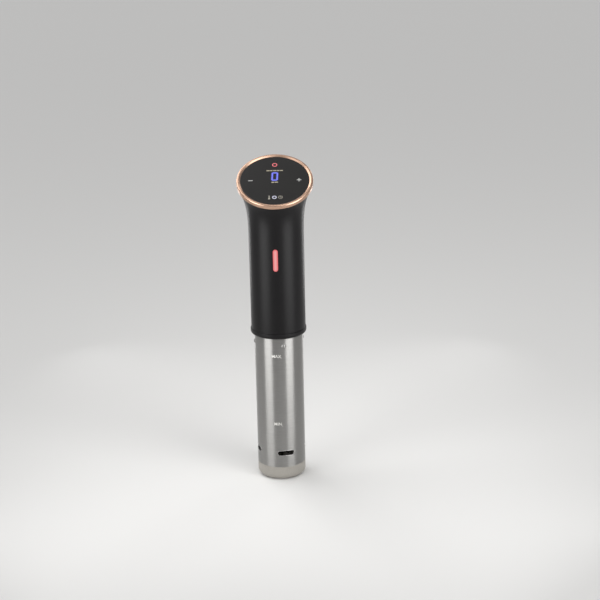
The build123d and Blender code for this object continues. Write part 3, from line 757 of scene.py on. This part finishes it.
class CIRCULATOR_OT_menu_signs(bpy.types.Operator):
    """Thermometer, pump and clock signs at the foot of the glass"""

    bl_idname = "circulator.menu_signs"
    bl_label = "Menu signs"

    def execute(self, context):
        panel = context.scene.circulator_panel
        depth = panel.depth
        y = -panel.menu_down
        pitch = 6.1 * MM
        grey = lit("Legend, printed grey", "#7a766c", "#b3ada0", 0.16)
        bright = lit("Legend, lit white", "#75757f", "#dcdcf2", 0.55)
        stem_width, stem_length, stem_up = 1.1 * MM, 4.2 * MM, 0.7 * MM
        bulb_radius, bulb_stroke, bulb_down = 0.65 * MM, 1.0 * MM, 1.9 * MM
        stem = bar(stem_width, stem_length, depth, -pitch, y + stem_up)
        bulb = hoop(bulb_radius, bulb_stroke, depth, -pitch, y - bulb_down)
        thermometer = lay_on_glass(join([stem, bulb]), panel.lift)
        finish_piece(thermometer, "thermometer_sign", "body", grey)
        pump_radius, pump_stroke, pump_aside = 1.95 * MM, 0.95 * MM, 0.4 * MM
        pump = lay_on_glass(hoop(pump_radius, pump_stroke, depth, -pump_aside, y), panel.lift)
        finish_piece(pump, "pump_sign", "body", bright)
        clock_radius, clock_stroke = 2.1 * MM, 0.6 * MM
        hand_width, minute_length, hour_length = 0.5 * MM, 1.5 * MM, 1.3 * MM
        minute_up, hour_aside = 0.6 * MM, 0.5 * MM
        face = hoop(clock_radius, clock_stroke, depth, pitch, y)
        hands = [
            bar(hand_width, minute_length, depth, pitch, y + minute_up),
            bar(hour_length, hand_width, depth, pitch + hour_aside, y),
        ]
        clock = lay_on_glass(join([face] + hands), panel.lift)
        finish_piece(clock, "clock_sign", "body", grey)
        return {"FINISHED"}


class CIRCULATOR_OT_water_marks(bpy.types.Operator):
    """Highest and lowest water levels, etched on the sleeve"""

    bl_idname = "circulator.water_marks"
    bl_label = "Water marks"

    def execute(self, context):
        sleeve = context.scene.circulator_sleeve
        # Pale frosted etching, raised enough to catch the light
        etched = metal("Stainless steel, etched", linear("#e1e0dc"), 0.07, 0.62, 0.2)
        marks = (("max_mark", "MAX", sleeve.high_water), ("min_mark", "MIN", sleeve.low_water))
        depth = 0.09 * MM
        stroke = 0.55 * MM
        fatten = 0.05 * MM
        line_length = 10.5 * MM
        text_size = sleeve.letter_height * 1.4
        lines = copies(
            bar(line_length, stroke, depth), [Matrix.Translation((0, level, 0)) for _, _, level in marks]
        )
        for line, (name, word, level) in zip(lines, marks):
            deselect()
            bpy.ops.object.text_add()
            text = active()
            text.data.body = word
            text.data.size = text_size
            text.data.align_x = "CENTER"
            text.data.extrude = depth / 2
            text.data.offset = fatten
            text = to_mesh(text)
            text.data.transform(Matrix.Translation((0, level + stroke * 1.6, depth / 2)))
            mark = join([text, line])
            wrap_on_tube(mark, SLEEVE_R, sleeve.mark_turn)
            finish_piece(mark, name, "sleeve", etched)
        return {"FINISHED"}


class CIRCULATOR_OT_slot_rims(bpy.types.Operator):
    """Rolled edges of the sleeve's slots"""

    bl_idname = "circulator.slot_rims"
    bl_label = "Slot rims"

    def rim(self, width, height):
        """Round wire bent to a slot's outline, flat, its middle at the origin."""
        wire_radius = 0.28 * MM
        straight = (width - height) / 2
        deselect()
        bpy.ops.mesh.primitive_circle_add(vertices=64, radius=height / 2, rotation=(0, 0, pi / 64))
        obj = settle(active())
        for side in (-1, 1):
            bpy.ops.object.mode_set(mode="EDIT")
            bpy.ops.mesh.select_all(action="DESELECT")
            mesh = bmesh.from_edit_mesh(obj.data)
            for vertex in mesh.verts:
                vertex.select = vertex.co.x * side > 0
            mesh.select_flush_mode()
            bmesh.update_edit_mesh(obj.data)
            bpy.ops.transform.translate(value=(side * straight, 0, 0))
            bpy.ops.object.mode_set(mode="OBJECT")
        bpy.ops.object.mode_set(mode="EDIT")
        bpy.ops.mesh.select_all(action="DESELECT")
        mesh = bmesh.from_edit_mesh(obj.data)
        for edge in mesh.edges:
            edge.select = edge.calc_length() > straight
        bmesh.update_edit_mesh(obj.data)
        bpy.ops.mesh.subdivide(number_cuts=16)
        bpy.ops.object.mode_set(mode="OBJECT")
        bpy.ops.object.convert(target="CURVE")
        wire = active()
        wire.data.bevel_depth = wire_radius
        wire.data.bevel_resolution = 3
        return to_mesh(wire)

    def execute(self, context):
        sleeve = context.scene.circulator_sleeve
        steel = bpy.data.materials[DRAWN_STEEL]
        rim = self.rim(sleeve.slot_width, sleeve.slot_height)
        sunk = 0.12 * MM
        stand = Matrix.Translation((0, SLEEVE_FOOT + sleeve.slot_rise, -sunk))
        for count, piece in enumerate(copies(rim, [stand] * sleeve.slots)):
            wrap_on_tube(piece, SLEEVE_R, sleeve.slot_turn + count * 2 * pi / sleeve.slots)
            finish_piece(piece, f"slot_rim_{count + 1}", "sleeve", steel, 60)
        return {"FINISHED"}


class CIRCULATOR_OT_grip_ribs(bpy.types.Operator):
    """Rubber ribs on the clip's finger grip"""

    bl_idname = "circulator.grip_ribs"
    bl_label = "Grip ribs"

    def execute(self, context):
        clip = context.scene.circulator_clip
        low, high = low_corner("clip_lever"), high_corner("clip_lever")
        width = (high.x - low.x) * 0.72
        top = high.z - clip.rib_drop
        places = []
        for count in range(clip.ribs):
            down = count * clip.rib_pitch
            stand = Matrix.Translation((0, high.y - clip.rib_radius - clip.grip_lean * down, top - down))
            places.append(stand @ Matrix.Rotation(-pi / 2, 4, "X"))
        ribs = copies(rounded_rib(width, clip.rib_radius * 2, clip.rib_radius * 2), places)
        material = bpy.data.materials[RUBBER]
        finish_piece(join(ribs), "grip_ribs", "clip", material)
        return {"FINISHED"}


class CIRCULATOR_OT_gland_ridges(bpy.types.Operator):
    """Raised rings on the face of the cord's gland"""

    bl_idname = "circulator.gland_ridges"
    bl_label = "Gland ridges"

    def execute(self, context):
        inlet = context.scene.circulator_inlet
        face = high_corner("cord_gland").y
        middle = (low_corner("cord_gland").z + high_corner("cord_gland").z) / 2
        rings = []
        for count in range(inlet.ridges):
            ring = hoop(inlet.first_radius + count * inlet.pitch, inlet.ridge_width, inlet.ridge_width * 0.7)
            sunk = inlet.ridge_width * 0.2
            stand = Matrix.Translation((0, face - sunk, middle)) @ Matrix.Rotation(-pi / 2, 4, "X")
            ring.data.transform(stand)
            rings.append(ring)
        material = bpy.data.materials[RUBBER]
        finish_piece(join(rings), "gland_ridges", "body", material, 60)
        return {"FINISHED"}


class CIRCULATOR_OT_pad_ribs(bpy.types.Operator):
    """Ribs across the clip's pad, on the side that grips the pot"""

    bl_idname = "circulator.pad_ribs"
    bl_label = "Pad ribs"

    def execute(self, context):
        clip = context.scene.circulator_clip
        low, high = low_corner("clip_pad"), high_corner("clip_pad")
        pitch = (high.z - low.z) / clip.pad_ribs
        places = []
        for count in range(clip.pad_ribs):
            place = Matrix.Translation((0, low.y + clip.pad_rib_depth, low.z + pitch * (count + 0.5)))
            places.append(place @ Matrix.Rotation(pi / 2, 4, "X"))
        ribs = copies(rounded_rib((high.x - low.x) * 0.94, pitch * 0.6, clip.pad_rib_depth * 2), places)
        material = bpy.data.materials[RUBBER]
        finish_piece(join(ribs), "pad_ribs", "clip", material)
        return {"FINISHED"}


class CIRCULATOR_OT_stage(bpy.types.Operator):
    """Floor, lights and camera"""

    bl_idname = "circulator.stage"
    bl_label = "Stage"
    lamp_spread = radians(110)
    sun_width = radians(50)
    sky_colour = linear("#f2f3f5")
    sky_strength = 0.4

    def softbox(self, name, azimuth, distance, height, width, tall, power, view_turn, aim=None):
        """Area light round the object, at an azimuth from the camera's own; upright unless aimed."""
        turn = azimuth + view_turn
        place = Vector((-sin(turn) * distance, -cos(turn) * distance, height))
        data = bpy.data.lights.new(name, "AREA")
        data.shape = "RECTANGLE"
        data.size = width
        data.size_y = tall
        data.energy = power
        data.spread = self.lamp_spread
        light = bpy.data.objects.new(name, data)
        light.location = place
        aim = aim or Vector((0, 0, height))
        light.rotation_euler = (aim - place).to_track_quat("-Z", "Y").to_euler()
        light.visible_camera = False
        bpy.context.scene.collection.objects.link(light)

    def sun(self, azimuth, elevation, power):
        """Very soft even light from far off, which keeps the floor as pale everywhere."""
        data = bpy.data.lights.new("daylight", "SUN")
        data.energy = power
        data.angle = self.sun_width
        light = bpy.data.objects.new("daylight", data)
        away = Vector((-sin(azimuth) * cos(elevation), -cos(azimuth) * cos(elevation), sin(elevation)))
        light.rotation_euler = (-away).to_track_quat("-Z", "Y").to_euler()
        bpy.context.scene.collection.objects.link(light)

    def floor(self, colour):
        deselect()
        bpy.ops.mesh.primitive_plane_add(size=FLOOR_SIZE, location=(0, 0, BASE_Z - FLOOR_GAP))
        floor = active()
        floor.name = "floor"
        # Painted board: matt and even, with a faint tooth
        material, tree, shader = new_material("Painted board, matt", Roughness=0.9, Base_Color=colour)
        grain(tree, shader, 2.0, 0.01)
        floor.data.materials.append(material)

    def camera(self, stage):
        data = bpy.data.cameras.new("camera")
        data.angle = stage.field
        data.clip_start = 0.01
        camera = bpy.data.objects.new("camera", data)
        az, el = stage.azimuth, stage.elevation
        away = Vector((-sin(az) * cos(el), -cos(az) * cos(el), sin(el)))
        turn = (-away).to_track_quat("-Z", "Y").to_matrix().to_4x4()
        place = Matrix.Translation(Vector(stage.aim) + away * stage.distance)
        camera.matrix_world = place @ turn @ Matrix.Rotation(stage.roll, 4, "Z")
        bpy.context.scene.collection.objects.link(camera)
        bpy.context.scene.camera = camera

    def execute(self, context):
        stage = context.scene.circulator_stage
        self.floor(stage.floor_colour)
        self.camera(stage)
        world = bpy.data.worlds.new("studio")
        world.use_nodes = True
        sky = world.node_tree.nodes["Background"]
        sky.inputs["Color"].default_value = self.sky_colour
        sky.inputs["Strength"].default_value = self.sky_strength
        context.scene.world = world
        context.scene.view_settings.view_transform = "Standard"
        view = stage.azimuth
        # name, azimuth from the camera's, distance, height, width, tall, power
        boxes = (
            ("strip_right", radians(50), 0.45, 0.5, 0.30, 0.9, 1.4),
            ("strip_left", radians(-49), 0.45, 0.5, 0.30, 0.9, 1.4),
            ("rim_left", radians(146), 0.6, 0.5, 0.10, 0.9, 0.35),
            ("rim_right", radians(-146), 0.6, 0.5, 0.10, 0.9, 0.35),
        )
        for name, azimuth, distance, height, width, tall, power in boxes:
            self.softbox(name, azimuth, distance, height, width, tall, power, view)
        self.softbox("top", radians(-35), 0.9, 1.7, 1.2, 1.2, 4.0, view, Vector((0, 0, 0.1)))
        self.sun(view + radians(125), radians(55), 1.5)
        return {"FINISHED"}


# ---------------------------------------------------------------- panel and registration
class CIRCULATOR_PT_sidebar(bpy.types.Panel):
    """Pieces of the circulator, one button each"""

    bl_label = "Circulator"
    bl_idname = "CIRCULATOR_PT_sidebar"
    bl_space_type = "VIEW_3D"
    bl_region_type = "UI"
    bl_category = "Circulator"

    def draw(self, context):
        for operator in OPERATORS:
            self.layout.operator(operator.bl_idname)
        for name in SETTINGS:
            settings = getattr(context.scene, name)
            for key in settings.__annotations__:
                self.layout.prop(settings, key)


OPERATORS = (
    CIRCULATOR_OT_finishes,
    CIRCULATOR_OT_power_sign,
    CIRCULATOR_OT_figure,
    CIRCULATOR_OT_key_signs,
    CIRCULATOR_OT_captions,
    CIRCULATOR_OT_menu_signs,
    CIRCULATOR_OT_water_marks,
    CIRCULATOR_OT_slot_rims,
    CIRCULATOR_OT_grip_ribs,
    CIRCULATOR_OT_pad_ribs,
    CIRCULATOR_OT_gland_ridges,
    CIRCULATOR_OT_stage,
)
SETTINGS = {
    "circulator_finish": FinishSettings,
    "circulator_panel": PanelSettings,
    "circulator_sleeve": SleeveSettings,
    "circulator_clip": ClipSettings,
    "circulator_inlet": InletSettings,
    "circulator_stage": StageSettings,
}
CLASSES = tuple(SETTINGS.values()) + OPERATORS + (CIRCULATOR_PT_sidebar,)


def register():
    for cls in CLASSES:
        bpy.utils.register_class(cls)
    for name, group in SETTINGS.items():
        setattr(bpy.types.Scene, name, PointerProperty(type=group))


def unregister():
    for name in SETTINGS:
        delattr(bpy.types.Scene, name)
    for cls in reversed(CLASSES):
        bpy.utils.unregister_class(cls)


def main():
    register()
    for operator in OPERATORS:
        space, name = operator.bl_idname.split(".")
        getattr(getattr(bpy.ops, space), name)()


if __name__ == "__main__":
    main()
